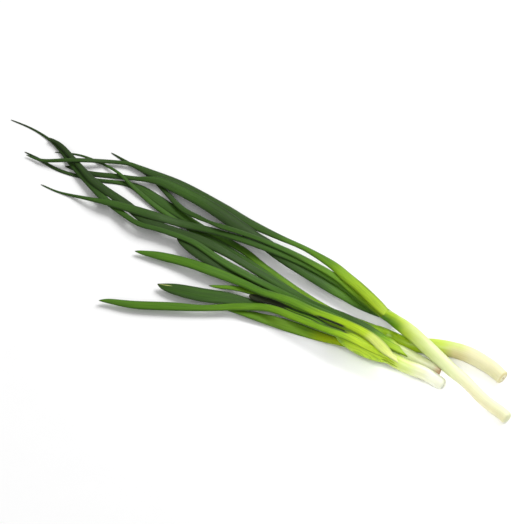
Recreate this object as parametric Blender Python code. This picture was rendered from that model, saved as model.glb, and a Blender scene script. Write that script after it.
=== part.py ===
"""A loose bunch of four spring onions lying on a flat surface.

Metres, +Z up. X runs along the bunch, leaf tips at -X and trimmed roots at +X. The origin is the middle of
the bunch's box, on the surface. Each shank and each leaf is one closed solid.

Routes are drawn in millimetres on the surface, each point where a line of sight from the eye through the
middle of the strand meets the surface. Once the pile has settled, each point is raised along that line to its
own height.
"""

import bpy
import bmesh
import math
import numpy as np

MM = 0.001

# The eye that the routes are drawn from: direction, steepness, distance and the point it looks at.
EYE_AZIMUTH = math.radians(38)
EYE_ELEVATION = math.radians(50)
EYE_DISTANCE = 1600
EYE_AIM = (-3.6, 4.6)

# The middle of the bunch's box in the drawing, moved to the origin.
BUNCH_MIDDLE = (-13.5, -34.1)

# Leaf blades, and how the whole pile lies.
BLADE_THICKNESS = 1.1
TIP_THICKNESS = 0.7
THICKNESS_TO_WIDTH = 0.3
CLEARANCE = 0.35
LEAF_PRESSED_FLAT = 0.15
STEM_PRESSED_FLAT = 0.4
LEAF_BEND = 12
STEM_BEND = 6
NECK_BLEND = 55
NARROWEST_CHORD = 0.4
ROUND_ON_ROUND = 2
FLAT_ON_ROUND = 3

# Settling: the most that a strand moves in a round, and the number of rounds.
RISE = 0.5
SETTLING_ROUNDS = 60

# The plant whose shank lies across the other shanks.
TOP_PLANT = "stem_a"

# How far the leaves of each plant spring clear of the surface, as (x, height).
SPRING = {
    "stem_a": [(-140, 0), (-60, 3.5), (20, 6), (70, 4.5), (102, 2.5)],
    "stem_b": [(0, 0)],
    "stem_c": [(-95, 1), (-60, 3), (-15, 4), (20, 2), (45, 0)],
    "stem_d": [(-200, 0), (-145, 3.5), (-90, 5.5), (-40, 5), (0, 2), (30, 0)],
}

# The trimmed root end as (distance past the last station, share of the radius): a swelling, then the plate.
ROOT_END = [(0.6, 1.05), (1.6, 1.02), (2.4, 0.86), (2.8, 0.6)]

# Stations and facets.
SPAN_POINTS = 12
STATION_STEP = 3
LEAF_SIDES = 8
LEAF_STATIONS_EVERY = 3
LEAF_SQUARENESS = 0.6
STEM_SIDES = 14
STEM_STATIONS_EVERY = 2
SHARP_EDGE = math.radians(50)

LEAF_ROUGHNESS = 0.45
STEM_ROUGHNESS = 0.35

# A layer that starts here holds from the tip.
TIP = -300

# Shanks: route points (x, y, diameter) from neck to root, place in the pile, and colour.
STEMS = {
    "stem_a": dict(
        layer=10,
        colour=(0.80, 0.84, 0.52),
        route=[(102, 21, 10.6), (121, 19, 10.6), (140, 15, 10.3), (165, 9, 9.5), (181, 6, 8.8), (199, 1, 8.6),
               (216, -1, 8.9), (220, -2, 9.0)],
    ),
    "stem_b": dict(
        layer=0.3,
        colour=(0.82, 0.80, 0.50),
        route=[(110.5, 6.5, 8.6), (124.5, 8, 9.4), (136, 12.5, 10.4), (143, 18, 11.2), (158, 25, 11.4),
               (171, 28, 11.6), (187, 28, 10.8), (197, 26, 10.0)],
    ),
    "stem_c": dict(
        layer=0.1,
        colour=(0.90, 0.92, 0.76),
        route=[(123, -10, 9.4), (138, -9, 9.8), (152, -6, 9.8), (167, -6, 9.0)],
    ),
    "stem_d": dict(
        layer=0.2,
        colour=(0.86, 0.84, 0.66),
        route=[(122, 0, 7.8), (133, 1, 8.0), (148, 1.5, 8.0), (158, 3, 7.6)],
    ),
}

# Leaves: the shank each grows from, its place in the pile as (from x, layer), colour, and route points
# (x, y, width) from tip to base. The neck of the shank follows as the last point.
LEAVES = {
    "leaf_a1": dict(
        stem="stem_a",
        layers=[(TIP, 5), (-20, 8)],
        colour=(0.16, 0.30, 0.03),
        route=[(-217, -23, 0.9), (-202, -19, 3.2), (-185.5, -5.5, 4.2), (-169, 6.3, 4.2), (-149.4, 18.5, 4.0),
               (-140, 21, 4.6), (-129, 22.5, 6.8), (-100, 27, 9.2), (-60, 29, 8.8), (-37, 29, 8.4),
               (-8, 32, 5.5), (14, 35, 4.8), (39, 35, 7.5), (55, 32, 9.0), (72, 29, 9.0)],
    ),
    "leaf_a2": dict(
        stem="stem_a",
        layers=[(TIP, 4.5), (-92, 7)],
        colour=(0.08, 0.19, 0.03),
        route=[(-166, 20, 0.9), (-148, 20, 2.8), (-126, 20, 4.0), (-104, 14, 4.2), (-85, 9, 5.0),
               (-68, 10, 4.4), (-59.5, 11.3, 3.0), (-49, 13.5, 5.2), (-39, 16.5, 4.8), (-15, 22, 4.7),
               (15, 26, 5.2), (48, 27, 5.8), (70, 24, 6.8)],
    ),
    "leaf_a3": dict(
        stem="stem_a",
        layers=[(TIP, 6)],
        colour=(0.07, 0.18, 0.03),
        route=[(-187, -39, 0.9), (-169.6, -36.2, 2.0), (-146.7, -27, 4.0), (-129.4, -19.5, 6.8),
               (-105, -12, 8.3), (-78, -4, 7.4), (-46, 8, 6.3), (-12, 17, 6.5), (22.7, 23, 6.8),
               (55, 24, 7.0), (73.5, 21.5, 7.0)],
    ),
    "leaf_a4": dict(
        stem="stem_a",
        layers=[(TIP, 1.5), (-128, 5.5)],
        colour=(0.05, 0.13, 0.03),
        route=[(-185, -13, 2.2), (-165, -7, 4.8), (-147, 3, 5.2), (-131, 12, 4.6), (-120, 19, 8.0),
               (-108, 22, 9.8), (-75, 24, 11.0), (-40, 22, 11.5), (-23.5, 20.8, 10.4), (-12, 20.5, 10.8),
               (-2, 19, 11.2), (10.5, 17.5, 10.2), (26.5, 16.5, 9.0), (50, 16.5, 9.8), (66, 17, 9.6),
               (80, 17, 8.8)],
    ),
    "leaf_b1": dict(
        stem="stem_b",
        layers=[(TIP, 1)],
        colour=(0.10, 0.22, 0.03),
        route=[(-220, -21, 0.9), (-205, -20, 2.7), (-185, -19, 3.2), (-160, -11, 3.6), (-136.5, 1.5, 4.6),
               (-122, 4.5, 8.8), (-97, 4, 9.2), (-62, 3, 6.8), (-24, 5, 6.2), (0, 2, 5.8), (35.5, -1, 5.8),
               (64.5, -1, 5.6), (87, 2.5, 6.5)],
    ),
    "leaf_b2": dict(
        stem="stem_b",
        layers=[(TIP, 2)],
        colour=(0.07, 0.17, 0.03),
        route=[(-201, -7, 0.9), (-183, 3, 1.8), (-161, 7, 2.4), (-146, 7, 2.7), (-124, 2, 3.7),
               (-98.5, -2, 4.4), (-68, -3, 4.7), (-37, -1, 4.9), (-2, -2, 5.4), (30, -4, 5.4),
               (62, -3.5, 6.0), (87, -0.5, 7.0)],
    ),
    "leaf_c1": dict(
        stem="stem_c",
        layers=[(TIP, 4.2)],
        colour=(0.17, 0.32, 0.03),
        route=[(-86, -46, 1.4), (-80.4, -43.5, 4.0), (-67.3, -37.6, 8.0), (-45.3, -29.6, 9.0),
               (-24.3, -24.6, 9.1), (-5.1, -20.8, 7.4), (14, -18, 6.6), (36, -12, 7.3), (57, -9, 6.8),
               (82, -4, 7.6), (101.5, -3.5, 8.0)],
    ),
    "leaf_c2": dict(
        stem="stem_c",
        layers=[(TIP, 4.1)],
        colour=(0.16, 0.31, 0.03),
        route=[(-76, -99, 1.4), (-69.3, -94.5, 4.5), (-52.3, -85.6, 7.5), (-29.3, -69.6, 8.0),
               (-10.3, -56.7, 6.0), (10.7, -38.7, 7.1), (28, -27, 7.1), (49, -22, 6.8), (69, -18, 6.6),
               (89, -13, 7.5), (105, -12, 8.4)],
    ),
    "leaf_c3": dict(
        stem="stem_c",
        layers=[(TIP, 3.8)],
        colour=(0.11, 0.25, 0.03),
        route=[(3, -48, 1.1), (13.6, -43.4, 4.6), (28.3, -38, 8.5), (50.4, -31.2, 11.0), (74, -25, 8.6),
               (92, -19, 6.9), (108, -15, 8.0)],
    ),
    "leaf_c4": dict(
        stem="stem_c",
        layers=[(TIP, 3.6)],
        colour=(0.05, 0.14, 0.03),
        route=[(-52, -60, 1.6), (-47.5, -59.3, 5.5), (-37.5, -55.4, 10.8), (-18.5, -47.4, 13.0),
               (-2.3, -38.6, 11.2), (15, -31, 6.6), (40, -24, 5.5), (75, -16, 6.2), (100, -13, 7.2)],
    ),
    "leaf_c5": dict(
        stem="stem_c",
        layers=[(TIP, 3.7)],
        colour=(0.14, 0.29, 0.03),
        route=[(-21, -38, 1.2), (-14, -34, 3.3), (0, -26, 4.7), (27, -18, 5.4), (60, -13, 5.8),
               (89, -10, 6.8)],
    ),
    "leaf_c6": dict(
        stem="stem_c",
        layers=[(TIP, 3.9)],
        colour=(0.07, 0.14, 0.04),
        route=[(8.4, -26.2, 4.4), (11.4, -26.2, 6.2), (17.4, -24.2, 5.8), (28.6, -20.5, 4.8), (45, -18, 4.5),
               (57, -15, 4.9), (71, -14, 3.8), (87, -11, 3.4), (105, -11, 6.0)],
    ),
    "leaf_d1": dict(
        stem="stem_d",
        layers=[(TIP, 3.4), (-112, 2.7)],
        colour=(0.07, 0.16, 0.03),
        route=[(-215, 2, 1.5), (-201, 1.5, 3.6), (-177, -5.5, 3.9), (-155, -11.5, 4.4), (-122.5, -14, 5.4),
               (-105, -16.5, 5.6), (-95, -17, 5.8), (-74.5, -13, 6.6), (-52.5, -7.2, 6.4), (-27, -5.2, 6.2),
               (28, -5, 6.3), (51, -4, 5.9), (78, 1, 6.7), (99, 2, 7.3)],
    ),
    "leaf_d2": dict(
        stem="stem_d",
        layers=[(TIP, 3)],
        colour=(0.09, 0.20, 0.03),
        route=[(-252, -2, 0.9), (-233, 1, 1.8), (-215, 1, 2.4), (-199, -2, 4.0), (-179, -9, 5.2),
               (-157, -15, 6.4), (-138, -20, 6.0), (-116, -23, 4.8), (-100, -23, 4.8), (-83, -17.5, 5.0),
               (-57.5, -12, 5.4), (-24.5, -13.2, 6.4), (12, -11, 6.0), (42, -8, 5.5), (80, -3, 6.2)],
    ),
    "leaf_d3": dict(
        stem="stem_d",
        layers=[(TIP, 2.5)],
        colour=(0.05, 0.13, 0.04),
        route=[(-69, -18, 1.2), (-58, -19, 5.0), (-39.5, -19, 8.0), (-6.5, -18, 6.6), (23, -14, 5.4),
               (60, -9, 5.8), (91, -5, 6.8)],
    ),
}


def eye_point():
    level = math.cos(EYE_ELEVATION)
    back = np.array([math.sin(EYE_AZIMUTH) * level, -math.cos(EYE_AZIMUTH) * level, math.sin(EYE_ELEVATION)])
    return np.array([*EYE_AIM, 0.0]) + back * EYE_DISTANCE


def smooth_route(points, step):
    """A Catmull-Rom curve through the points, read at even steps along its length."""
    knots = np.array(points, float)
    ends = [2 * knots[0] - knots[1], *knots, 2 * knots[-1] - knots[-2]]
    dense = []
    for a, b, c, d in zip(ends, ends[1:], ends[2:], ends[3:]):
        for t in np.linspace(0, 1, SPAN_POINTS, endpoint=False):
            dense.append(0.5 * (2 * b + (c - a) * t + (2 * a - 5 * b + 4 * c - d) * t ** 2
                                + (3 * b - a - 3 * c + d) * t ** 3))
    dense.append(knots[-1])
    dense = np.array(dense)
    along = np.concatenate([[0], np.cumsum(np.linalg.norm(np.diff(dense[:, :2], axis=0), axis=1))])
    wanted = np.linspace(0, along[-1], round(along[-1] / step) + 1)
    return np.stack([np.interp(wanted, along, dense[:, k]) for k in range(dense.shape[1])], axis=1), wanted


class Strand:
    """A shank or a leaf as a row of stations: drawn place, half width, half thickness, layer and height."""

    def __init__(self, name, route, layers, is_stem):
        self.name = name
        self.family = name
        self.is_stem = is_stem
        self.leaves = []
        stations, self.along = smooth_route(route, STATION_STEP)
        self.drawn = stations[:, :2]
        self.half_width = stations[:, 2] / 2
        starts = np.array([x for x, _ in layers])
        values = np.array([layer for _, layer in layers], float)
        self.layer = values[np.searchsorted(starts, self.drawn[:, 0], side="right") - 1]
        if is_stem:
            self.half_thickness = self.half_width.copy()
        else:
            thickness = np.clip(THICKNESS_TO_WIDTH * stations[:, 2], TIP_THICKNESS, BLADE_THICKNESS)
            self.half_thickness = thickness / 2
        self.lie_on_surface()

    def lie_on_surface(self):
        pressed = STEM_PRESSED_FLAT if self.is_stem else LEAF_PRESSED_FLAT
        self.floor = self.half_thickness - pressed
        self.height = self.floor.copy()

    def seen_at_height(self, eye):
        rise = (self.height / eye[2])[:, None]
        return self.drawn + (eye[:2] - self.drawn) * rise


def shape_leaf_base(leaf, offset, layer_thickness, neck_radius):
    """Near the neck a leaf thickens to its share of the shank and narrows to the chord of the round there."""
    left = leaf.along[-1] - leaf.along
    share = np.clip(1 - left / NECK_BLEND, 0, 1) ** 2
    chord = math.sqrt(max(neck_radius ** 2 - offset ** 2, (NARROWEST_CHORD * neck_radius) ** 2))
    leaf.half_thickness = leaf.half_thickness * (1 - share) + layer_thickness / 2 * share
    leaf.half_width = leaf.half_width * (1 - share) + chord * share
    leaf.neck_offset = offset
    leaf.neck_share = share
    leaf.lie_on_surface()


def make_strands():
    stems = {}
    for name, facts in STEMS.items():
        stems[name] = Strand(name, facts["route"], [(TIP, facts["layer"])], True)
    leaves = []
    for name, facts in LEAVES.items():
        stem = stems[facts["stem"]]
        neck = STEMS[facts["stem"]]["route"][0]
        leaf = Strand(name, [*facts["route"], neck], facts["layers"], False)
        leaf.family = stem.name
        leaf.stem = stem
        stem.leaves.append(leaf)
        leaves.append(leaf)
    for stem in stems.values():
        stem.leaves.sort(key=lambda leaf: leaf.layer[-1])
        radius = stem.half_width[0]
        pitch = 2 * radius / len(stem.leaves)
        for index, leaf in enumerate(stem.leaves):
            offset = (index - (len(stem.leaves) - 1) / 2) * pitch
            shape_leaf_base(leaf, offset, pitch - CLEARANCE, radius)
            spring = SPRING[stem.name]
            leaf.floor += np.interp(leaf.drawn[:, 0], [x for x, _ in spring], [rise for _, rise in spring])
    return list(stems.values()), leaves


def height_over(upper, lower, eye):
    """The least height of each station of the upper strand that keeps it clear of the lower one."""
    a = upper.seen_at_height(eye)
    b = lower.seen_at_height(eye)
    apart = np.linalg.norm(a[:, None] - b[None], axis=2)
    reach = upper.half_width[:, None] + lower.half_width[None] + CLEARANCE
    stacked = upper.half_thickness[:, None] + lower.half_thickness[None] + CLEARANCE
    power = ROUND_ON_ROUND if upper.is_stem and lower.is_stem else FLAT_ON_ROUND
    overlap = np.clip(1 - (apart / reach) ** power, 0, None) ** (1 / power)
    over = (apart < reach) & (upper.layer[:, None] > lower.layer[None])
    least = np.where(over, lower.height[None] + stacked * overlap, 0)
    return least.max(axis=1)


def taut_over(along, least):
    """The line of a string pulled tight from end to end over every height that is needed."""
    hull = []
    for point in zip(along, least):
        while len(hull) > 1:
            (ax, az), (bx, bz) = hull[-2:]
            if (bz - az) * (point[0] - ax) > (point[1] - az) * (bx - ax):
                break
            hull.pop()
        hull.append(point)
    return np.interp(along, [x for x, _ in hull], [z for _, z in hull])


def bend_gently(strand, least):
    """A stiff shank lies straight from support to support. A leaf bridges what is within a bend's length."""
    reach = STEM_BEND if strand.is_stem else LEAF_BEND
    if strand.is_stem:
        least = taut_over(strand.along, least)
    near = np.abs(strand.along[:, None] - strand.along[None]) <= reach
    raised = np.where(near, least[None], 0).max(axis=1)
    return (near * raised[None]).sum(axis=1) / near.sum(axis=1)


def may_lie_on(upper, lower):
    """Shanks lie side by side on the surface, but the plant of the top shank also lies across the others."""
    if upper.family == lower.family:
        return upper is not lower and not upper.is_stem and not lower.is_stem
    if upper.is_stem or lower.is_stem:
        return upper.family == TOP_PLANT
    return True


def settle(stems, leaves, eye):
    """Lets the pile come to rest: each strand lies on the surface and on every strand of a lower layer."""
    strands = stems + leaves
    for _ in range(SETTLING_ROUNDS):
        before = {strand.name: strand.height for strand in strands}
        for strand in sorted(strands, key=lambda s: s.layer[-1]):
            least = strand.floor.copy()
            for other in strands:
                if may_lie_on(strand, other):
                    least = np.maximum(least, height_over(strand, other, eye))
            strand.least = bend_gently(strand, least)
        for stem in stems:
            neck = max([stem.least[0]] + [leaf.least[-1] - leaf.neck_offset for leaf in stem.leaves])
            stem.height = stem.least + (neck - stem.least[0]) * (1 - stem.along / stem.along[-1])
            for leaf in stem.leaves:
                at_neck = neck + leaf.neck_offset
                leaf.height = leaf.least + (at_neck - leaf.least[-1]) * leaf.neck_share
        for strand in strands:
            strand.height = before[strand.name] + np.clip(strand.height - before[strand.name], -RISE, RISE)


def section(strand, half_width, half_thickness):
    """Points round one section as (sideways, up): a round shank with a facet underneath, or a flat blade."""
    sides = STEM_SIDES if strand.is_stem else LEAF_SIDES
    start = math.pi / sides - math.pi / 2 if strand.is_stem else 0
    points = []
    for k in range(sides):
        angle = start + 2 * math.pi * k / sides
        up = math.sin(angle)
        if not strand.is_stem:
            up = math.copysign(abs(up) ** LEAF_SQUARENESS, up)
        points.append((half_width * math.cos(angle), half_thickness * up))
    return points


def directions(strand, eye):
    """Centre, forward and sideways direction of every station, in millimetres."""
    centre = np.column_stack([strand.seen_at_height(eye), strand.height])
    forward = np.gradient(centre, axis=0)
    forward /= np.linalg.norm(forward, axis=1)[:, None]
    sideways = np.column_stack([-forward[:, 1], forward[:, 0], np.zeros(len(forward))])
    sideways /= np.linalg.norm(sideways, axis=1)[:, None]
    return centre, forward, sideways


def rings_of(strand, eye):
    """Rings as (centre, forward, sideways, half width, half thickness), with a gap between leaf and shank."""
    every = STEM_STATIONS_EVERY if strand.is_stem else LEAF_STATIONS_EVERY
    centre, forward, sideways = directions(strand, eye)
    keep = list(range(0, len(centre), every))
    keep[-1] = len(centre) - 1
    rings = []
    for i in keep:
        rings.append((centre[i], forward[i], sideways[i], strand.half_width[i], strand.half_thickness[i]))
    if strand.is_stem:
        last, ahead, side, radius, _ = rings[-1]
        for distance, share in ROOT_END:
            rings.append((last + ahead * distance, ahead, side, radius * share, radius * share))
        rings[0] = (centre[0] + forward[0] * CLEARANCE, *rings[0][1:])
    else:
        neck, ahead, side = (row[0] for row in directions(strand.stem, eye))
        lift = np.cross(ahead, side) * strand.neck_offset
        rings[-1] = (neck + lift - ahead * CLEARANCE, ahead, side, *rings[-1][3:])
    return rings


def build_solid(strand, eye, collection):
    """The rings joined into one closed skin. Diagonals match above and below, so thin blades stay whole."""
    shift = np.array([*BUNCH_MIDDLE, 0.0])
    mesh = bmesh.new()
    loops = []
    for place, ahead, side, half_width, half_thickness in rings_of(strand, eye):
        up = np.cross(ahead, side)
        loop = []
        for across, rise in section(strand, half_width, half_thickness):
            point = place + side * across + up * rise - shift
            point[2] = max(point[2], 0.0)
            loop.append(mesh.verts.new(point * MM))
        loops.append(loop)
    sides = len(loops[0])
    for near, far in zip(loops, loops[1:]):
        for k in range(sides):
            n = (k + 1) % sides
            if k < sides // 2:
                mesh.faces.new((near[k], near[n], far[n]))
                mesh.faces.new((near[k], far[n], far[k]))
            else:
                mesh.faces.new((near[k], near[n], far[k]))
                mesh.faces.new((near[n], far[n], far[k]))
    mesh.faces.new(loops[0])
    mesh.faces.new(loops[-1])
    bmesh.ops.recalc_face_normals(mesh, faces=mesh.faces)
    data = bpy.data.meshes.new(strand.name)
    mesh.to_mesh(data)
    mesh.free()
    data.shade_smooth()
    data.set_sharp_from_angle(angle=SHARP_EDGE)
    solid = bpy.data.objects.new(strand.name, data)
    collection.objects.link(solid)
    return solid


def paint(solid, colour, roughness):
    material = bpy.data.materials.new(solid.name)
    material.use_nodes = True
    shader = material.node_tree.nodes["Principled BSDF"]
    shader.inputs["Base Color"].default_value = (*colour, 1)
    shader.inputs["Roughness"].default_value = roughness
    shader.inputs["Metallic"].default_value = 0
    solid.data.materials.append(material)


def main():
    for item in list(bpy.data.objects):
        bpy.data.objects.remove(item, do_unlink=True)
    bunch = bpy.data.collections.new("spring_onions")
    bpy.context.scene.collection.children.link(bunch)
    eye = eye_point()
    stems, leaves = make_strands()
    settle(stems, leaves, eye)
    for stem in stems:
        paint(build_solid(stem, eye, bunch), STEMS[stem.name]["colour"], STEM_ROUGHNESS)
    for leaf in leaves:
        paint(build_solid(leaf, eye, bunch), LEAVES[leaf.name]["colour"], LEAF_ROUGHNESS)


main()
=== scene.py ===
"""The looks of a loose bunch of spring onions lying on a white surface.

Every shank and leaf is a straight blank, extruded station by station, that is then bent along the middle
of the solid it stands for. Lengths are in metres.
"""

import math

import bpy
import numpy as np
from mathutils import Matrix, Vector
from mathutils.bvhtree import BVHTree


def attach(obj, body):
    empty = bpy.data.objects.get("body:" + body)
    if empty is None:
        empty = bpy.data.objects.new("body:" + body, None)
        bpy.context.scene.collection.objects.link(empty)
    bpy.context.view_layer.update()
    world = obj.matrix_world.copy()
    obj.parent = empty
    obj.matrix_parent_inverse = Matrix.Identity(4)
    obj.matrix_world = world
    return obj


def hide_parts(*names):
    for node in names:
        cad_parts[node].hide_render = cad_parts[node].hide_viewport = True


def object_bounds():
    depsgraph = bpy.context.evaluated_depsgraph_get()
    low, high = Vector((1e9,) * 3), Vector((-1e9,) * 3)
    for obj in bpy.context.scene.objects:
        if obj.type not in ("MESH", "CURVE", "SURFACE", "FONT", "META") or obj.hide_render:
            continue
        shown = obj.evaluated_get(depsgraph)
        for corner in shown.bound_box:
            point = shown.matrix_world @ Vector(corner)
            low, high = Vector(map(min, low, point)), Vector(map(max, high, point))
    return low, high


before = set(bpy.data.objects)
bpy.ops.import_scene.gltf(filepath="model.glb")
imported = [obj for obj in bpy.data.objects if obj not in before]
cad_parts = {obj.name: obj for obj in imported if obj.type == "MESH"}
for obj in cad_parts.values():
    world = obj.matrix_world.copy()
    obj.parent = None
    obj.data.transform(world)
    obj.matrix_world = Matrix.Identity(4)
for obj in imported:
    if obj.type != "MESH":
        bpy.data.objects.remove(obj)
cad_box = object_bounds()

MM = 0.001
TOP = cad_box[1][2] - 0.0001

# The photograph's eye. It aims at a place in the drawing on the surface, in millimetres, that the routes
# are given in.
EYE_AZIMUTH = math.radians(38)
EYE_ELEVATION = math.radians(50)
EYE_DISTANCE = 1600
EYE_AIM = (-3.6, 4.6)
BUNCH_MIDDLE = (-13.5, -34.1)
LENS_MM = 146.6
SENSOR_MM = 36

# How far past the surface the rays from underneath start, and how far above and below a strand's middle
# the rays to its sides start.
BELOW = 0.05
RAY_LIFT = 0.00005

# Stations and corners of the blanks. A bundle of leaf bases heads the way that its first leaf runs over
# its last few stations.
STATION_STEP = 3
SPAN_POINTS = 12
HEADING_STATIONS = 7
LEAF_CORNERS = 18
SHANK_CORNERS = 28
LEAF_SQUARENESS = 0.62

# A leaf keeps its drawn width up to this far before its neck, in millimetres. Its base runs on inside the
# shank and sinks to its middle, as (distance past the neck, share of its size, share of its distance from
# the middle).
NECK_BLEND = 55
LEAF_INTO_SHANK = [(3, 1.0, 0.94), (6, 0.97, 0.82), (10, 0.92, 0.6), (14, 0.75, 0.3)]

# How far a leaf base draws in where a sheath wraps it, as (distance from the neck, share of its size).
TUCK = [(0, 0.6), (20, 0.68), (32, 0.9), (40, 1.0)]

# The sheath that a shank's skin draws over its leaf bases, as (distance from the neck, share of the
# bundle's width, share of its height).
SHEATH = [(22, 0.3, 0.25), (18, 0.5, 0.4), (14, 0.66, 0.52), (10, 0.76, 0.62), (6, 0.84, 0.7),
          (3, 0.88, 0.76)]

# How much slimmer than drawn a shank is just past its neck, where the leaf bases still lie round it, as
# (distance past the neck, share of its width, share of its height).
WAIST = [(0, 0.93, 0.82), (6, 0.97, 0.92), (14, 1.0, 1.0)]

# A subdivision pulls a round in by about this much.
SHRINK = 1.015

# How far from its tip and from its neck a blade takes on its arch and crease, the half width at which it
# has them in full, the level of the arch's edges, and how wide the crease is across. Distances are in
# millimetres.
ARCH_FROM_TIP = 6
ARCH_FROM_NECK = 45
ARCH_AT_TIP = 0.2
FULL_HALF_WIDTH = 4
ARCH_LEVEL = 0.6
CREASE_WIDTH = 0.16

# The tip of a leaf, as (distance from the end, share of its width).
TIP_TAPER = [(0.0, 0.25), (1.0, 0.65), (3.0, 1.0)]

# The trimmed root end, cut flat or rounded off, as (distance past the last station, share of the radius).
# The colours of the cut show between these distances.
ROOT_END = [(0.5, 1.02), (1.2, 1.03), (1.9, 0.98), (2.4, 0.88), (2.7, 0.72)]
ROUND_END = [(0.7, 0.99), (1.4, 0.92), (2.0, 0.8), (2.5, 0.6), (2.7, 0.35)]
CUT_SHOWS = (1.6, 2.5)

# How far the dry brown reaches from a leaf's tip, in millimetres.
DRY_TIP = 3.5

# The even light of the studio, and its lamps as (place, size, power, spread in degrees, what they
# aim at).
SKY = 0.39
LAMPS = {
    "window": ((0.22, 1.8, 1.65), 1.5, 60, 180, (0, 0, 0)),
    "root_lamp": ((0.22, -0.1, 0.25), 0.15, 0.085, 60, (0.18, 0.01, 0)),
    "fill": ((0, -1.2, 0.8), 1.0, 3.4, 180, (0, 0, 0)),
}


def paint(red, green, blue):
    """A colour given in 0 to 255 as it looks on a screen, as the linear colour that a shader takes."""
    linear = []
    for value in (red, green, blue):
        share = value / 255
        linear.append(share / 12.92 if share <= 0.04045 else ((share + 0.055) / 1.055) ** 2.4)
    return (*linear, 1.0)


# Colours by name.
# The near black below is painted shadow, for the gaps between leaves and the shaded tip end of leaf_c6.
PAINTED_SHADOW = paint(44, 54, 34)
DRY = paint(66, 70, 46)
SHADE = paint(46, 74, 30)
DEEP = paint(52, 86, 30)
DARK = paint(58, 96, 34)
GREEN = paint(66, 110, 36)
MID = paint(78, 128, 36)
LEAF = paint(92, 146, 36)
LIGHT = paint(112, 166, 34)
BRIGHT = paint(130, 182, 30)
LIME = paint(150, 198, 28)
ACID = paint(168, 208, 26)
YELLOW = paint(186, 220, 40)
FRESH = paint(146, 200, 70)
SUN = paint(198, 231, 40)
LEMON = paint(208, 232, 86)
PALE = paint(222, 238, 148)
MILKY = paint(232, 242, 182)
CREAM = paint(244, 247, 208)
WHITE = paint(250, 252, 236)
IVORY = paint(246, 241, 200)
STRAW = paint(232, 220, 164)
TAN = paint(190, 140, 80)
BROWN = paint(158, 112, 70)
PINK = paint(222, 186, 156)

# What every leaf and every shank is toned down by.
LEAF_TONE = paint(225, 220, 184)
SHANK_TONE = paint(216, 216, 212)

# Shanks: route points (x, y, diameter) on the drawing from neck to root, and colours as (distance from
# the neck in mm, colour) along the far and the near side. turn is where across the one becomes the other,
# from -1 at the near edge to 1 at the far edge. streaks is (start, end, depth) of the dark streaks at the
# neck. cut is the colours of the root end from its middle (0) to its rim (10), and cut_flat tells a
# sliced end from a worn one. wraps names the leaves that the sheath is drawn over where it isn't all of
# them, and sheath and waist replace the usual ones.
SHANKS = {
    "stem_a": dict(
        cut_flat=False,
        slot="shank",
        route=[(102, 21, 10.6), (121, 19, 10.6), (140, 15, 10.3), (165, 9, 9.5), (181, 6, 8.8),
               (199, 1, 8.6), (216, -1, 8.9), (220, -2, 9.0)],
        far=[(-24, YELLOW), (6, YELLOW), (14, LEMON), (26, PALE), (50, MILKY), (80, CREAM),
             (120, CREAM)],
        near=[(-24, LEAF), (0, LEAF), (8, LIGHT), (14, BRIGHT), (24, LEMON), (38, PALE), (60, MILKY),
              (90, IVORY), (120, IVORY)],
        turn=(-0.85, 0.0),
        waist=[(0, 0.86, 0.62), (6, 0.92, 0.75), (14, 0.97, 0.9), (24, 1.0, 1.0)],
        streaks=(0, 20, 0.3),
        cut=[(0, IVORY), (6, CREAM), (10, CREAM)],
    ),
    "stem_b": dict(
        cut_flat=True,
        slot="shank",
        route=[(110.5, 6.5, 8.6), (124.5, 8, 9.4), (136, 12.5, 10.4), (143, 18, 11.2), (158, 25, 11.4),
               (171, 28, 11.6), (187, 28, 10.8), (197, 26, 10.0)],
        far=[(-24, LIGHT), (-2, ACID), (24, YELLOW), (40, LEMON), (54, PALE), (66, IVORY), (100, IVORY)],
        near=[(-24, LIGHT), (0, ACID), (24, YELLOW), (42, LEMON), (54, STRAW), (72, IVORY),
              (100, IVORY)],
        turn=(-0.9, 0.1),
        streaks=(-10, 40, 0.5),
        cut=[(0, TAN), (2, TAN), (4, IVORY), (8, IVORY), (10, STRAW)],
    ),
    "stem_c": dict(
        cut_flat=False,
        slot="shank_white",
        route=[(123, -10, 9.4), (138, -9, 9.8), (152, -6, 9.8), (167, -6, 9.0)],
        far=[(-48, LIME), (-30, YELLOW), (-8, SUN), (1, SUN), (6, LEMON), (14, PALE), (24, CREAM),
             (34, WHITE), (46, WHITE)],
        near=[(-48, BRIGHT), (-34, ACID), (-22, SUN), (1, SUN), (6, LEMON), (14, PALE), (26, CREAM),
              (36, WHITE), (46, WHITE)],
        turn=(-0.3, 0.5),
        streaks=(2, 8, 0.5),
        wraps=("leaf_c2", "leaf_c3", "leaf_c4"),
        sheath=[(44, 0.45, 0.4), (38, 0.78, 0.62), (33, 0.98, 0.84), (28, 1.06, 0.92), (20, 1.08, 0.95),
                (12, 1.06, 1.0), (6, 1.04, 1.12), (3, 1.0, 1.22)],
        waist=[(0, 0.95, 0.93), (14, 1.0, 1.0)],
        cut=[(0, WHITE), (5, WHITE), (10, WHITE)],
    ),
    "stem_d": dict(
        cut_flat=True,
        slot="shank",
        route=[(122, 0, 7.8), (133, 1, 8.0), (148, 1.5, 8.0), (158, 3, 7.6)],
        far=[(-16, LIGHT), (-6, LIME), (0, LEMON), (8, MILKY), (37, CREAM)],
        near=[(-16, LIGHT), (-6, LIME), (1, PALE), (12, MILKY), (30, CREAM), (37, PINK)],
        turn=(-0.5, 0.5),
        streaks=(0, 16, 0.3),
        sheath=[(16, 0.5, 0.4), (12, 0.72, 0.6), (8, 0.9, 0.8), (4, 0.98, 0.95)],
        cut=[(0, TAN), (5, PINK), (10, BROWN)],
    ),
}
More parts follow.
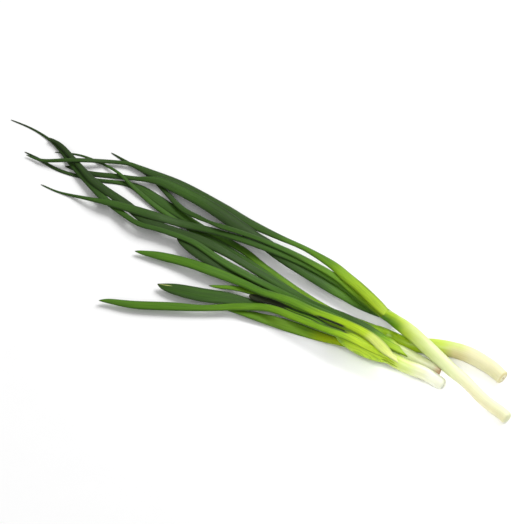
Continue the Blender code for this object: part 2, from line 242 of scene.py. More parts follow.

# Leaves: the shank each grows from, route points (x, y, width) on the drawing from tip to base, colours
# as (distance from the neck in mm, colour), arch of the blade in mm, and crease as (place across, depth
# in mm). The slits are narrow bands of another colour, as (place across, half width, from, to, colour):
# painted shadow in the gaps between leaves, painted highlight along a curled strip, and on leaf_c4 the
# pale split of its tip. blend is a leaf's own NECK_BLEND. lean is (sideways in mm at the neck, over how
# many mm), and aside is sideways all along. fuller is (distance from the neck, share of the drawn width).
# tuck draws the base in, inside a sheath.
LEAVES = {
    "leaf_a1": dict(
        shank="stem_a", slot="leaf_light", arch=0.5, crease=(0.3, 0.25),
        route=[(-217, -23, 0.9), (-202, -19, 3.2), (-185.5, -5.5, 4.2), (-169, 6.3, 4.2),
               (-149.4, 18.5, 4.0), (-140, 21, 4.6), (-129, 22.5, 6.8), (-100, 27, 9.2), (-60, 29, 8.8),
               (-37, 29, 8.4), (-8, 32, 5.5), (14, 35, 4.8), (39, 35, 7.5), (55, 32, 9.0),
               (72, 29, 9.0)],
        colours=[(-6, YELLOW), (6, YELLOW), (32, ACID), (52, LIME), (70, LIGHT), (98, LEAF),
                 (125, GREEN), (150, DARK), (330, DARK)],
    ),
    "leaf_a2": dict(
        shank="stem_a", slot="leaf_dark", arch=0.4, crease=(-0.2, 0.2),
        route=[(-166, 20, 0.9), (-148, 20, 2.8), (-126, 20, 4.0), (-104, 14, 4.2), (-85, 9, 5.0),
               (-68, 10, 4.4), (-59.5, 11.3, 3.0), (-49, 13.5, 5.2), (-39, 16.5, 4.8), (-15, 22, 4.7),
               (15, 26, 5.2), (48, 27, 5.8), (70, 24, 6.8)],
        colours=[(0, LIME), (34, BRIGHT), (60, LIGHT), (95, MID), (140, GREEN), (180, DARK),
                 (280, DEEP)],
    ),
    "leaf_a3": dict(
        shank="stem_a", slot="leaf_dark", arch=0.4, crease=(0.1, 0.2),
        route=[(-187, -39, 0.9), (-169.6, -36.2, 2.0), (-146.7, -27, 4.0), (-129.4, -19.5, 6.8),
               (-105, -12, 8.3), (-78, -4, 7.4), (-46, 8, 6.3), (-12, 17, 6.5), (22.7, 23, 6.8),
               (55, 24, 7.0), (73.5, 21.5, 7.0)],
        colours=[(0, LIGHT), (40, LEAF), (80, MID), (120, GREEN), (180, DARK), (240, GREEN),
                 (300, DARK)],
    ),
    "leaf_a4": dict(
        shank="stem_a", slot="leaf_dark", arch=0.5, crease=(0.5, 0.35),
        route=[(-185, -13, 2.2), (-165, -7, 4.8), (-147, 3, 5.2), (-131, 12, 4.6), (-120, 19, 8.0),
               (-108, 22, 9.8), (-75, 24, 11.0), (-40, 22, 11.5), (-23.5, 20.8, 10.4), (-12, 20.5, 10.8),
               (-2, 19, 11.2), (10.5, 17.5, 10.2), (26.5, 16.5, 9.0), (50, 16.5, 9.8), (66, 17, 9.6),
               (80, 17, 8.8)],
        colours=[(0, LEAF), (14, MID), (36, LEAF), (60, GREEN), (100, DARK), (150, DEEP), (200, GREEN),
                 (250, DARK), (300, SHADE)],
    ),
    "leaf_b1": dict(
        shank="stem_b", slot="leaf_dark", arch=0.4, crease=(0.0, 0.2),
        route=[(-220, -21, 0.9), (-205, -20, 2.7), (-185, -19, 3.2), (-160, -11, 3.6),
               (-136.5, 1.5, 4.6), (-122, 4.5, 8.8), (-97, 4, 9.2), (-62, 3, 6.8), (-24, 5, 6.2),
               (0, 2, 5.8), (35.5, -1, 5.8), (64.5, -1, 5.6), (87, 2.5, 6.5)],
        colours=[(0, LIME), (30, LIME), (70, BRIGHT), (105, LIGHT), (150, MID), (220, GREEN),
                 (270, DARK), (330, SHADE)],
    ),
    "leaf_b2": dict(
        shank="stem_b", slot="leaf_dark", arch=0.4, crease=(0.2, 0.2),
        route=[(-201, -7, 0.9), (-183, 3, 1.8), (-161, 7, 2.4), (-146, 7, 2.7), (-124, 2, 3.7),
               (-98.5, -2, 4.4), (-68, -3, 4.7), (-37, -1, 4.9), (-2, -2, 5.4), (30, -4, 5.4),
               (62, -3.5, 6.0), (87, -0.5, 7.0)],
        colours=[(0, LIME), (40, LIGHT), (90, MID), (150, GREEN), (200, MID), (260, GREEN), (310, DARK)],
    ),
    "leaf_c1": dict(
        shank="stem_c", slot="leaf_light", arch=0.5, crease=(0.1, 0.15),
        blend=14,
        lean=(2.6, 45),
        route=[(-86, -46, 1.4), (-80.4, -43.5, 4.0), (-67.3, -37.6, 8.0), (-45.3, -29.6, 9.0),
               (-24.3, -24.6, 9.1), (-5.1, -20.8, 7.4), (14, -18, 6.6), (36, -12, 7.3), (57, -9, 6.8),
               (82, -4, 7.6), (101.5, -3.5, 8.0)],
        colours=[(-12, WHITE), (-4, MILKY), (6, PALE), (18, PALE), (28, YELLOW), (44, ACID), (62, LIME),
                 (85, LIGHT), (125, LEAF), (200, LEAF)],
        # Its slit is painted shadow in a dark gap along one edge.
        slits_and_painted_light=[(-0.85, 0.3, 44, 66, PAINTED_SHADOW)],
    ),
    "leaf_c2": dict(
        shank="stem_c", slot="leaf_light", arch=0.5, crease=(0.35, 0.2), tuck=True,
        route=[(-76, -99, 1.4), (-69.3, -94.5, 4.5), (-52.3, -85.6, 7.5), (-29.3, -69.6, 8.0),
               (-10.3, -56.7, 6.0), (10.7, -38.7, 7.1), (28, -27, 7.1), (49, -22, 6.8), (69, -18, 6.6),
               (89, -13, 7.5), (105, -12, 8.4)],
        colours=[(0, SUN), (26, YELLOW), (40, LIME), (50, BRIGHT), (72, BRIGHT), (110, LIGHT),
                 (180, LEAF), (235, LEAF)],
        # Its slits are painted shadow in the gap along one edge, with a thin painted highlight in it.
        slits_and_painted_light=[(0.82, 0.38, 36, 62, PAINTED_SHADOW), (0.74, 0.1, 40, 64, LIGHT)],
    ),
    "leaf_c3": dict(
        shank="stem_c", slot="leaf_light", arch=0.5, crease=(-0.3, 0.2), tuck=True,
        route=[(3, -48, 1.1), (13.6, -43.4, 4.6), (28.3, -38, 8.5), (50.4, -31.2, 11.0), (74, -25, 8.6),
               (92, -19, 6.9), (108, -15, 8.0)],
        # SUN as far as 85 mm is partly painted light: the leaf is made brighter than its own yellow-green
        # there, against the shade that leaf_c2 casts on it.
        colours=[(0, SUN), (54, SUN), (70, FRESH), (90, FRESH), (110, LIGHT), (130, LEAF)],
    ),
    "leaf_c4": dict(
        shank="stem_c", slot="leaf_dark", arch=0.3, crease=(-0.45, 0.35), tuck=True,
        route=[(-52, -60, 1.6), (-47.5, -59.3, 5.5), (-37.5, -55.4, 10.8), (-18.5, -47.4, 13.0),
               (-2.3, -38.6, 11.2), (15, -31, 6.6), (40, -24, 5.5), (75, -16, 6.2), (100, -13, 7.2)],
        colours=[(0, SUN), (34, YELLOW), (48, LIGHT), (80, DARK), (150, GREEN), (190, DARK)],
        slits_and_painted_light=[(0.35, 0.1, 178, 190, MILKY)],
    ),
    "leaf_c5": dict(
        shank="stem_c", slot="leaf_light", arch=0.3, crease=(0.0, 0.15),
        route=[(-21, -38, 1.2), (-14, -34, 3.3), (0, -26, 4.7), (27, -18, 5.4), (60, -13, 5.8),
               (89, -10, 6.8)],
        colours=[(0, YELLOW), (30, LIME), (70, LIGHT), (160, LIGHT)],
    ),
    "leaf_c6": dict(
        shank="stem_c", slot="leaf_dark", arch=0.3, crease=(0.0, 0.2),
        route=[(8.4, -26.2, 4.4), (11.4, -26.2, 6.2), (17.4, -24.2, 5.8), (28.6, -20.5, 4.8),
               (45, -18, 4.5), (57, -15, 4.9), (71, -14, 3.8), (87, -11, 3.4), (105, -11, 6.0)],
        # The near black of its tip end, from 90 mm on, is painted shade.
        colours=[(0, YELLOW), (20, LIME), (38, MID), (60, MID), (82, DARK), (90, PAINTED_SHADOW),
                 (125, PAINTED_SHADOW)],
        # Its slits are painted shadow in the gaps beside it and a painted highlight along its curled strip.
        slits_and_painted_light=[(0.7, 0.4, 38, 68, PAINTED_SHADOW), (0.05, 0.25, 38, 54, PAINTED_SHADOW), (-0.3, 0.2, 58, 88, LIGHT)],
    ),
    "leaf_d1": dict(
        shank="stem_d", slot="leaf_dark", arch=0.4, crease=(0.2, 0.2),
        fuller=[(150, 1), (180, 1.5), (285, 1.5), (310, 1.1)],
        route=[(-215, 2, 1.5), (-201, 1.5, 3.6), (-177, -5.5, 3.9), (-155, -11.5, 4.4),
               (-122.5, -14, 5.4), (-105, -16.5, 5.6), (-95, -17, 5.8), (-74.5, -13, 6.6),
               (-52.5, -7.2, 6.4), (-27, -5.2, 6.2), (28, -5, 6.3), (51, -4, 5.9), (78, 1, 6.7),
               (99, 2, 7.3)],
        # From 150 mm on the darker stops are partly the leaf's own dark green and partly painted shade,
        # where it lies under leaf_a3.
        colours=[(0, LIME), (6, LIME), (14, LIGHT), (24, GREEN), (40, DARK), (60, GREEN), (100, GREEN),
                 (150, DARK), (190, DEEP), (270, DEEP), (340, SHADE)],
    ),
    "leaf_d2": dict(
        shank="stem_d", slot="leaf_dark", arch=0.4, crease=(-0.2, 0.2),
        route=[(-252, -2, 0.9), (-233, 1, 1.8), (-215, 1, 2.4), (-199, -2, 4.0), (-179, -9, 5.2),
               (-157, -15, 6.4), (-138, -20, 6.0), (-116, -23, 4.8), (-100, -23, 4.8), (-83, -17.5, 5.0),
               (-57.5, -12, 5.4), (-24.5, -13.2, 6.4), (12, -11, 6.0), (42, -8, 5.5), (80, -3, 6.2)],
        colours=[(0, ACID), (8, LIME), (20, LIGHT), (40, LEAF), (70, MID), (140, MID), (200, GREEN),
                 (250, GREEN), (300, DARK), (380, SHADE)],
    ),
    "leaf_d3": dict(
        shank="stem_d", slot="leaf_dark", arch=0.3, crease=(0.0, 0.2),
        fuller=[(0, 1.3)],
        aside=1.2,
        route=[(-69, -18, 1.2), (-58, -19, 5.0), (-39.5, -19, 8.0), (-6.5, -18, 6.6), (23, -14, 5.4),
               (60, -9, 5.8), (91, -5, 6.8)],
        colours=[(0, LIGHT), (20, MID), (70, DARK), (200, DEEP)],
    ),
}


def deselect():
    if bpy.context.object and bpy.context.object.mode != "OBJECT":
        bpy.ops.object.mode_set(mode="OBJECT")
    bpy.ops.object.select_all(action="DESELECT")


def eye_point():
    """Where the eye is, and the way back to it from what it aims at."""
    level = math.cos(EYE_ELEVATION)
    rise = math.sin(EYE_ELEVATION)
    back = np.array([math.sin(EYE_AZIMUTH) * level, -math.cos(EYE_AZIMUTH) * level, rise])
    middle = np.array([*BUNCH_MIDDLE, 0.0])
    aim = np.array([*EYE_AIM, 0.0]) - middle
    return (aim + back * EYE_DISTANCE) * MM, back


EYE, BACK = eye_point()


def smooth(points, step):
    """A Catmull-Rom curve through the points, read at even steps along its length."""
    knots = np.array(points, float)
    ends = [2 * knots[0] - knots[1], *knots, 2 * knots[-1] - knots[-2]]
    dense = []
    for a, b, c, d in zip(ends, ends[1:], ends[2:], ends[3:]):
        for t in np.linspace(0, 1, SPAN_POINTS, endpoint=False):
            dense.append(0.5 * (2 * b + (c - a) * t + (2 * a - 5 * b + 4 * c - d) * t ** 2
                                + (3 * b - a - 3 * c + d) * t ** 3))
    dense.append(knots[-1])
    dense = np.array(dense)
    along = np.concatenate([[0], np.cumsum(np.linalg.norm(np.diff(dense, axis=0), axis=1))])
    wanted = np.linspace(0, along[-1], round(along[-1] / step) + 1)
    return np.stack([np.interp(wanted, along, dense[:, k]) for k in range(dense.shape[1])], axis=1)


def skin_of(node):
    return BVHTree.FromPolygons([corner.co for corner in node.data.vertices],
                                [face.vertices for face in node.data.polygons])


def hit(skin, start, way):
    place = skin.ray_cast(Vector(start), Vector(way))[0]
    return None if place is None else np.array(place)


def reach(skin, start, way):
    """How far the skin is from a place inside it, looking just above and just below that place."""
    found = []
    for lift in (-RAY_LIFT, RAY_LIFT):
        place = hit(skin, start + np.array([0, 0, lift]), way)
        if place is not None:
            found.append(np.linalg.norm(place - start))
    return max(found, default=None)


def filled(values, good):
    """The values that were measured, carried over the places that were missed."""
    at = np.arange(len(values))
    return np.interp(at, at[good], values[good])


def measure(node, route):
    """Centre, half width and half thickness of a solid strand at each station of its drawn route."""
    skin = skin_of(node)
    stations = smooth(route, STATION_STEP)
    drawn = (stations[:, :2] - np.array(BUNCH_MIDDLE)) * MM
    height = np.zeros(len(drawn))
    good = np.zeros(len(drawn), bool)
    for i, (x, y) in enumerate(drawn):
        low = np.array([x, y, 0.0])
        sight = (low - EYE) / np.linalg.norm(low - EYE)
        top = hit(skin, EYE, sight)
        bottom = hit(skin, low + sight * BELOW, -sight)
        if top is not None and bottom is not None:
            height[i] = (top[2] + bottom[2]) / 2
            good[i] = True
    height = filled(height, good)
    rise = (height / EYE[2])[:, None]
    centre = np.column_stack([drawn + (EYE[:2] - drawn) * rise, height])
    forward = np.gradient(centre, axis=0)
    chord = np.zeros(len(centre))
    half_thickness = np.zeros(len(centre))
    for i, place in enumerate(centre):
        side = np.array([-forward[i][1], forward[i][0], 0.0])
        side /= np.linalg.norm(side)
        left, right = reach(skin, place, side), reach(skin, place, -side)
        above, below = hit(skin, place, (0, 0, 1)), hit(skin, place, (0, 0, -1))
        good[i] = good[i] and None not in (left, right) and above is not None and below is not None
        if good[i]:
            chord[i] = (left + right) / 2
            half_thickness[i] = (above[2] - below[2]) / 2
    return centre, stations[:, 2] / 2 * MM, filled(chord, good), filled(half_thickness, good)


def lengths(centre):
    return np.concatenate([[0], np.cumsum(np.linalg.norm(np.diff(centre, axis=0), axis=1))])


def blank(name, at, half_width, half_thickness, corners, squareness):
    """A straight bar along X, extruded from a disc and resized at each station."""
    deselect()
    facing_x = (0, math.pi / 2, 0)
    bpy.ops.mesh.primitive_circle_add(vertices=corners, radius=1, fill_type="NGON", rotation=facing_x)
    piece = bpy.context.object
    piece.name = name
    bpy.ops.object.transform_apply(rotation=True)
    for corner in piece.data.vertices:
        corner.co.z = math.copysign(abs(corner.co.z) ** squareness, corner.co.z)
    bpy.ops.object.mode_set(mode="EDIT")
    bpy.ops.mesh.select_all(action="SELECT")
    bpy.ops.transform.resize(value=(1, half_width[0], half_thickness[0]), center_override=(0, 0, 0))
    for i in range(1, len(at)):
        bpy.ops.mesh.extrude_region_move(TRANSFORM_OT_translate={"value": (at[i] - at[i - 1], 0, 0)})
        wider = half_width[i] / half_width[i - 1]
        thicker = half_thickness[i] / half_thickness[i - 1]
        bpy.ops.transform.resize(value=(1, wider, thicker), center_override=(at[i], 0, 0))
    bpy.ops.mesh.select_all(action="SELECT")
    bpy.ops.mesh.normals_make_consistent(inside=False)
    bpy.ops.object.mode_set(mode="OBJECT")
    return piece


def note(mesh, name, values):
    """Keeps a value for each point of the mesh, for the materials to read."""
    mesh.attributes.new(name, "FLOAT", "POINT").data.foreach_set("value", np.asarray(values, np.float32))


def points_of(mesh):
    flat = np.empty(len(mesh.vertices) * 3, np.float32)
    mesh.vertices.foreach_get("co", flat)
    return flat.reshape(-1, 3)


def bend(piece, centre):
    """Bends a straight blank along the strand's middle."""
    deselect()
    path = bpy.data.curves.new("route", "CURVE")
    path.dimensions = "3D"
    path.twist_mode = "Z_UP"
    spline = path.splines.new("POLY")
    spline.points.add(len(centre) - 1)
    for point, place in zip(spline.points, centre):
        point.co = (*place, 1)
    guide = bpy.data.objects.new("route", path)
    bpy.context.scene.collection.objects.link(guide)
    bpy.context.view_layer.objects.active = piece
    piece.select_set(True)
    bending = piece.modifiers.new("Bend", "CURVE")
    bending.object = guide
    bending.deform_axis = "POS_X"
    bpy.ops.object.modifier_apply(modifier=bending.name)
    bpy.data.objects.remove(guide)
    bpy.data.curves.remove(path)


def refine(piece):
    """One subdivision, smooth shading, and everything kept above the surface and within the height."""
    finer = piece.modifiers.new("Finer", "SUBSURF")
    finer.levels = 1
    finer.render_levels = 1
    bpy.ops.object.modifier_apply(modifier=finer.name)
    bpy.ops.object.shade_smooth()
    for corner in piece.data.vertices:
        corner.co.z = min(max(corner.co.z, 0.0), TOP)


def leaf_run(name, facts):
    """The stations of one leaf, from tip to neck."""
    route = [*facts["route"], SHANKS[facts["shank"]]["route"][0]]
    centre, drawn_width, chord, half_thickness = measure(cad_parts[name], route)
    at = lengths(centre)
    left = (at[-1] - at) / MM
    share = np.clip(1 - left / facts.get("blend", NECK_BLEND), 0, 1) ** 2
    lean, leaning = facts.get("lean", (0, 1))
    aside = lean * MM * np.clip(1 - left / leaning, 0, 1) ** 1.5 + facts.get("aside", 0) * MM
    forward = np.gradient(centre, axis=0)
    side = np.column_stack([-forward[:, 1], forward[:, 0], np.zeros(len(forward))])
    centre = centre + side / np.linalg.norm(side, axis=1)[:, None] * aside[:, None]
    fuller = facts.get("fuller", [(0, 1)])
    drawn_width = drawn_width * np.interp(left, *zip(*fuller))
    return centre, drawn_width * (1 - share) + chord * share, half_thickness


def make_leaf(name, facts):
    centre, half_width, half_thickness = leaf_run(name, facts)
    neck = lengths(centre)[-1]
    if facts.get("tuck"):
        drawn_in = np.interp((neck - lengths(centre)) / MM, *zip(*TUCK))
        half_width = half_width * drawn_in
        half_thickness = half_thickness * drawn_in
    shank_middle, _, _, _ = measure(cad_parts[facts["shank"]], SHANKS[facts["shank"]]["route"])
    off_middle = centre[-1] - shank_middle[0]
    inside = []
    for distance, _, share in LEAF_INTO_SHANK:
        place = [np.interp(distance * MM, lengths(shank_middle), shank_middle[:, k]) for k in range(3)]
        inside.append(np.array(place) + off_middle * share)
    shares = [share for _, share, _ in LEAF_INTO_SHANK]
    centre = np.vstack([centre, inside])
    half_width = np.concatenate([half_width, half_width[-1] * np.array(shares)]) * SHRINK
    half_thickness = np.concatenate([half_thickness, half_thickness[-1] * np.array(shares)])
    at = lengths(centre)
    taper = np.interp(at / MM, *zip(*TIP_TAPER))
    half_width = half_width * taper
    half_thickness = half_thickness * taper
    piece = blank(name + "_blade", at, half_width, half_thickness, LEAF_CORNERS, LEAF_SQUARENESS)
    place = points_of(piece.data)
    wide = np.interp(place[:, 0], at, half_width)
    thick = np.interp(place[:, 0], at, half_thickness)
    across = place[:, 1] / wide
    note(piece.data, "run", (neck - place[:, 0]) / MM)
    note(piece.data, "across", across)
    note(piece.data, "face", place[:, 2] / thick)
    note(piece.data, "wide", wide / MM)
    note(piece.data, "tip", place[:, 0] / MM)
    free_from = [0, ARCH_FROM_TIP * MM, neck - ARCH_FROM_NECK * MM, neck]
    free = np.interp(place[:, 0], free_from, [ARCH_AT_TIP, 1, 1, 0])
    full = np.clip(wide / (FULL_HALF_WIDTH * MM), 0, 1)
    crease_at, crease_depth = facts["crease"]
    crease = np.exp(-((across - crease_at) / CREASE_WIDTH) ** 2) * (place[:, 2] > 0)
    place[:, 2] += free * full * facts["arch"] * MM * (ARCH_LEVEL - across ** 2)
    place[:, 2] -= free * full * crease_depth * MM * crease
    piece.data.vertices.foreach_set("co", place.ravel())
    bend(piece, centre)
    refine(piece)
    return piece


def bundle_at(leaves, distance):
    """Middle, half width and half height of the bundle of leaf bases at a distance from the neck."""
    middles, widths, rises = [], [], []
    for centre, half_width, half_thickness in leaves:
        left = (lengths(centre)[-1] - lengths(centre)) / MM
        place = np.array([np.interp(-distance, -left, centre[:, k]) for k in range(3)])
        middles.append(place)
        widths.append(np.interp(-distance, -left, half_width))
        rises.append(np.interp(-distance, -left, half_thickness))
    middles = np.array(middles)
    first_leaf = leaves[0][0]
    ahead = first_leaf[-1] - first_leaf[-1 - HEADING_STATIONS]
    side = np.array([-ahead[1], ahead[0], 0.0]) / np.hypot(ahead[0], ahead[1])
    sideways = (middles - middles.mean(axis=0)) @ side
    widths, rises = np.array(widths), np.array(rises)
    left_edge, right_edge = (sideways - widths).min(), (sideways + widths).max()
    low, high = (middles[:, 2] - rises).min(), (middles[:, 2] + rises).max()
    middle = middles.mean(axis=0) + side * (left_edge + right_edge) / 2
    middle[2] = (low + high) / 2
    return middle, (right_edge - left_edge) / 2, (high - low) / 2


def make_shank(name, facts):
    centre, radius, _, _ = measure(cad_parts[name], facts["route"])
    own = [leaf for leaf, leaf_facts in LEAVES.items() if leaf_facts["shank"] == name]
    leaves = [leaf_run(leaf, LEAVES[leaf]) for leaf in facts.get("wraps", own)]
    wrap = facts.get("sheath", SHEATH)
    sheath = [bundle_at(leaves, distance) for distance, _, _ in wrap]
    across_share = np.array([share for _, share, _ in wrap])
    upward_share = np.array([share for _, _, share in wrap])
    past_neck = lengths(centre) / MM
    places, wide_share, high_share = zip(*facts.get("waist", WAIST))
    wide_here = radius * np.interp(past_neck, places, wide_share)
    high_here = radius * np.interp(past_neck, places, high_share)
    ahead = centre[-1] - centre[-2]
    ahead /= np.linalg.norm(ahead)
    end = ROOT_END if facts["cut_flat"] else ROUND_END
    past = [centre[-1] + ahead * distance * MM for distance, _ in end]
    tail = radius[-1] * np.array([share for _, share in end])
    half_width = np.concatenate([[wide for _, wide, _ in sheath] * across_share, wide_here, tail]) * SHRINK
    half_height = np.concatenate([[high for _, _, high in sheath] * upward_share, high_here, tail]) * SHRINK
    length = lengths(centre)[-1] / MM
    centre = np.vstack([[middle for middle, _, _ in sheath], centre, past])
    at = lengths(centre)
    neck = at[len(wrap)]
    piece = blank(name + "_shank", at, half_width, half_height, SHANK_CORNERS, 1.0)
    place = points_of(piece.data)
    wide = np.interp(place[:, 0], at, half_width)
    high = np.interp(place[:, 0], at, half_height)
    note(piece.data, "run", (place[:, 0] - neck) / MM)
    note(piece.data, "across", place[:, 1] / wide)
    note(piece.data, "face", place[:, 2] / high)
    note(piece.data, "wide", wide / MM)
    bend(piece, centre)
    refine(piece)
    return piece, length


class Paintwork:
    """Small helper that adds and links nodes of one material."""

    def __init__(self, name):
        self.material = bpy.data.materials.new(name)
        self.material.use_nodes = True
        self.nodes = self.material.node_tree.nodes
        self.links = self.material.node_tree.links
        self.shader = self.nodes["Principled BSDF"]

    def add(self, kind, **settings):
        node = self.nodes.new(kind)
        for key, value in settings.items():
            setattr(node, key, value)
        return node

    def feed(self, socket, value):
        if hasattr(value, "is_output"):
            self.links.new(value, socket)
        else:
            socket.default_value = value

    def value(self, name):
        return self.add("ShaderNodeAttribute", attribute_name=name).outputs["Fac"]

    def math(self, operation, first, second=0.0):
        node = self.add("ShaderNodeMath", operation=operation)
        self.feed(node.inputs[0], first)
        self.feed(node.inputs[1], second)
        return node.outputs[0]

    def spread(self, value, low, high, to_low=0.0, to_high=1.0):
        node = self.add("ShaderNodeMapRange", clamp=True)
        for socket, number in zip(node.inputs, (value, low, high, to_low, to_high)):
            self.feed(socket, number)
        return node.outputs[0]

    def ramp(self, value, stops):
        """Colours along a length: stops are (millimetres, colour)."""
        low, high = stops[0][0], stops[-1][0]
        node = self.add("ShaderNodeValToRGB")
        band = node.color_ramp
        band.interpolation = "EASE"
        while len(band.elements) < len(stops):
            band.elements.new(0.5)
        for element, (length, colour) in zip(band.elements, stops):
            element.position = (length - low) / (high - low)
            element.color = colour
        self.feed(node.inputs[0], self.spread(value, low, high))
        return node.outputs[0]

    def mix(self, share, first, second, how="MIX"):
        node = self.add("ShaderNodeMix", data_type="RGBA", blend_type=how)
        self.feed(node.inputs[0], share)
        self.feed(node.inputs[6], first)
        self.feed(node.inputs[7], second)
        return node.outputs[2]

    def noise(self, vector, scale, detail=2.0):
        node = self.add("ShaderNodeTexNoise")
        self.feed(node.inputs["Vector"], vector)
        node.inputs["Scale"].default_value = scale
        node.inputs["Detail"].default_value = detail
        return node.outputs["Fac"]

    def lengthwise(self, along, around):
        """A place along and across the strand in millimetres, for patterns that follow its fibres."""
        node = self.add("ShaderNodeCombineXYZ")
        self.feed(node.inputs[0], self.math("MULTIPLY", self.value("run"), along))
        self.feed(node.inputs[1], self.math("MULTIPLY", self.across_mm(), around))
        self.feed(node.inputs[2], self.value("face"))
        return node.outputs[0]

    def across_mm(self):
        return self.math("MULTIPLY", self.value("across"), self.value("wide"))

    def bump(self, height, distance, strength):
        node = self.add("ShaderNodeBump")
        node.inputs["Strength"].default_value = strength
        node.inputs["Distance"].default_value = distance
        self.feed(node.inputs["Height"], height)
        return node.outputs[0]


def leaf_material(name, facts):
    """Waxy leaf: colours from base to tip, fine lengthwise veins, a paler ridge that is painted highlight,
    edges and underside darkened as painted shade, and painted bands of shadow and highlight.
    """
    work = Paintwork(name)
    colour = work.ramp(work.value("run"), facts["colours"])
    broad = work.noise(work.lengthwise(0.03, 0.4), 1.0, 3.0)
    fine = work.noise(work.lengthwise(0.05, 2.6), 1.0, 2.0)
    vein = work.noise(work.lengthwise(0.02, 2.2), 1.6, 1.0)
    colour = work.mix(work.spread(broad, 0.4, 0.7, 0.0, 0.35), colour, paint(150, 176, 110), "MULTIPLY")
    colour = work.mix(work.spread(fine, 0.45, 0.7, 0.0, 0.5), colour, paint(150, 160, 120), "MULTIPLY")
    # Painted highlight: the leaf is made paler along its crease line, where light catches it.
    crease_at, _ = facts["crease"]
    off_ridge = work.math("ABSOLUTE", work.math("SUBTRACT", work.value("across"), crease_at))
    painted_ridge_highlight = work.spread(off_ridge, 0.0, 0.12, 0.3, 0.0)
    colour = work.mix(painted_ridge_highlight, colour, paint(196, 214, 130), "SOFT_LIGHT")
    # The slits paint narrow bands: shadow in the gaps between leaves, a highlight along a curled strip, and
    # the pale split of a tip.
    for place, half, start, end, tone in facts.get("slits_and_painted_light", []):
        off_middle = work.math("ABSOLUTE", work.math("SUBTRACT", work.value("across"), place))
        band = work.spread(off_middle, half * 0.5, half, 1.0, 0.0)
        begun = work.spread(work.value("run"), start - 3.0, start + 1.0)
        left = work.spread(work.value("run"), end - 1.0, end + 3.0, 1.0, 0.0)
        colour = work.mix(work.math("MULTIPLY", band, work.math("MULTIPLY", begun, left)), colour, tone)
    # Painted shade: the leaf is darkened towards both edges, where its arch turns away from the light.
    painted_edge_shade = work.spread(work.math("ABSOLUTE", work.value("across")), 0.6, 1.0, 0.0, 0.6)
    colour = work.mix(painted_edge_shade, colour, paint(120, 136, 92), "MULTIPLY")
    # Painted shade: the underside of the leaf is darkened.
    painted_underside_shade = work.spread(work.value("face"), -0.5, 0.2, 0.4, 0.0)
    colour = work.mix(painted_underside_shade, colour, paint(150, 172, 130), "MULTIPLY")
    dry = work.math("ADD", work.value("tip"), work.spread(fine, 0.3, 0.7, -1.5, 1.5))
    colour = work.mix(work.spread(dry, 0.0, DRY_TIP, 0.85, 0.0), colour, DRY)
    colour = work.mix(1.0, colour, LEAF_TONE, "MULTIPLY")
    work.feed(work.shader.inputs["Base Color"], colour)
    work.feed(work.shader.inputs["Roughness"], work.spread(broad, 0.3, 0.7, 0.36, 0.5))
    work.feed(work.shader.inputs["Normal"], work.bump(vein, 0.0004, 0.4))
    work.shader.inputs["Specular IOR Level"].default_value = 0.25
    work.shader.inputs["Subsurface Weight"].default_value = 0.05
    work.shader.inputs["Subsurface Radius"].default_value = (0.6, 1.0, 0.2)
    work.shader.inputs["Subsurface Scale"].default_value = 0.0015
    return work.material


def shank_material(name, facts, length):
    """Moist pale shank: colours from neck to root, fine fibres, streaks at the neck, a cut root end."""
    work = Paintwork(name)
    far = work.ramp(work.value("run"), facts["far"])
    near = work.ramp(work.value("run"), facts["near"])
    low, high = facts["turn"]
    colour = work.mix(work.spread(work.value("across"), low, high, 0.0, 1.0), near, far)
    fibre = work.noise(work.lengthwise(0.03, 1.4), 1.6, 2.0)
    colour = work.mix(work.spread(fibre, 0.45, 0.8, 0.0, 0.3), colour, paint(204, 214, 140), "MULTIPLY")
    streak = work.noise(work.lengthwise(0.012, 1.9), 1.0, 1.0)
    start, end, depth = facts["streaks"]
    near_neck = work.spread(work.value("run"), start, end, depth, 0.0)
    streaked = work.math("MULTIPLY", work.spread(streak, 0.5, 0.6), near_neck)
    colour = work.mix(streaked, colour, paint(120, 160, 50), "MULTIPLY")
    across, face = work.value("across"), work.value("face")
    squares = work.math("ADD", work.math("MULTIPLY", across, across), work.math("MULTIPLY", face, face))
    radial = work.math("SQRT", squares)
    rings = work.ramp(work.math("MULTIPLY", radial, 10.0), facts["cut"])
    past = work.spread(work.value("run"), length + CUT_SHOWS[0], length + CUT_SHOWS[1])
    colour = work.mix(past, colour, rings)
    colour = work.mix(1.0, colour, SHANK_TONE, "MULTIPLY")
    work.feed(work.shader.inputs["Base Color"], colour)
    work.feed(work.shader.inputs["Roughness"], work.spread(fibre, 0.3, 0.7, 0.3, 0.42))
    work.feed(work.shader.inputs["Normal"], work.bump(fibre, 0.0004, 0.3))
    work.shader.inputs["Specular IOR Level"].default_value = 0.35
    work.shader.inputs["Subsurface Weight"].default_value = 0.3
    work.shader.inputs["Subsurface Radius"].default_value = (1.0, 1.0, 0.5)
    work.shader.inputs["Subsurface Scale"].default_value = 0.004
    return work.material


def dress(piece, node_name, material):
    piece.data.materials.clear()
    piece.data.materials.append(material)
    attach(piece, "root")
    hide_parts(node_name)


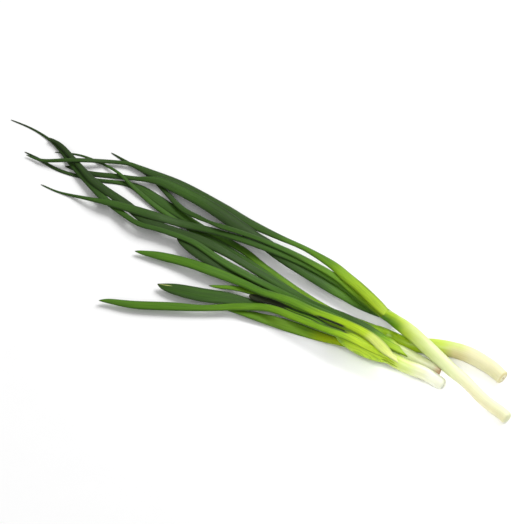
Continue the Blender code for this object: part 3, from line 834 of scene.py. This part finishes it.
def make_camera():
    data = bpy.data.cameras.new("camera")
    data.lens = LENS_MM
    data.sensor_width = SENSOR_MM
    data.clip_end = 10
    camera = bpy.data.objects.new("camera", data)
    bpy.context.scene.collection.objects.link(camera)
    camera.location = EYE
    camera.rotation_mode = "QUATERNION"
    camera.rotation_quaternion = Vector(-BACK).to_track_quat("-Z", "Y")
    bpy.context.scene.camera = camera


def make_surface():
    deselect()
    bpy.ops.mesh.primitive_plane_add(size=12)
    floor = bpy.context.object
    floor.name = "surface"
    work = Paintwork("white_surface")
    grain = work.noise(work.add("ShaderNodeTexCoord").outputs["Object"], 40.0, 3.0)
    shade = work.mix(grain, paint(252, 252, 252), paint(250, 250, 250))
    work.feed(work.shader.inputs["Base Color"], shade)
    work.shader.inputs["Roughness"].default_value = 0.9
    work.shader.inputs["Specular IOR Level"].default_value = 0.1
    floor.data.materials.append(work.material)


def make_light():
    world = bpy.data.worlds.new("studio")
    bpy.context.scene.world = world
    world.use_nodes = True
    sky = world.node_tree.nodes["Background"]
    sky.inputs["Color"].default_value = (1, 1, 1, 1)
    sky.inputs["Strength"].default_value = SKY
    for name, (place, size, power, spread, aim) in LAMPS.items():
        data = bpy.data.lights.new(name, "AREA")
        data.shape = "DISK"
        data.size = size
        data.energy = power
        data.spread = math.radians(spread)
        lamp = bpy.data.objects.new(name, data)
        lamp.location = place
        lamp.visible_camera = False
        lamp.rotation_mode = "QUATERNION"
        lamp.rotation_quaternion = (Vector(place) - Vector(aim)).to_track_quat("Z", "Y")
        bpy.context.scene.collection.objects.link(lamp)
    bpy.context.scene.view_settings.view_transform = "Standard"
    bpy.context.scene.view_settings.look = "None"
    bpy.context.scene.view_settings.exposure = 0
    bpy.context.scene.view_settings.gamma = 1


make_camera()
make_light()
make_surface()
for shank_name, shank_facts in SHANKS.items():
    shank, shank_length = make_shank(shank_name, shank_facts)
    shank_skin = shank_material(shank_name + "_skin", shank_facts, shank_length)
    dress(shank, shank_name, shank_skin)
for leaf_name, leaf_facts in LEAVES.items():
    dress(make_leaf(leaf_name, leaf_facts), leaf_name,
          leaf_material(leaf_name + "_skin", leaf_facts))
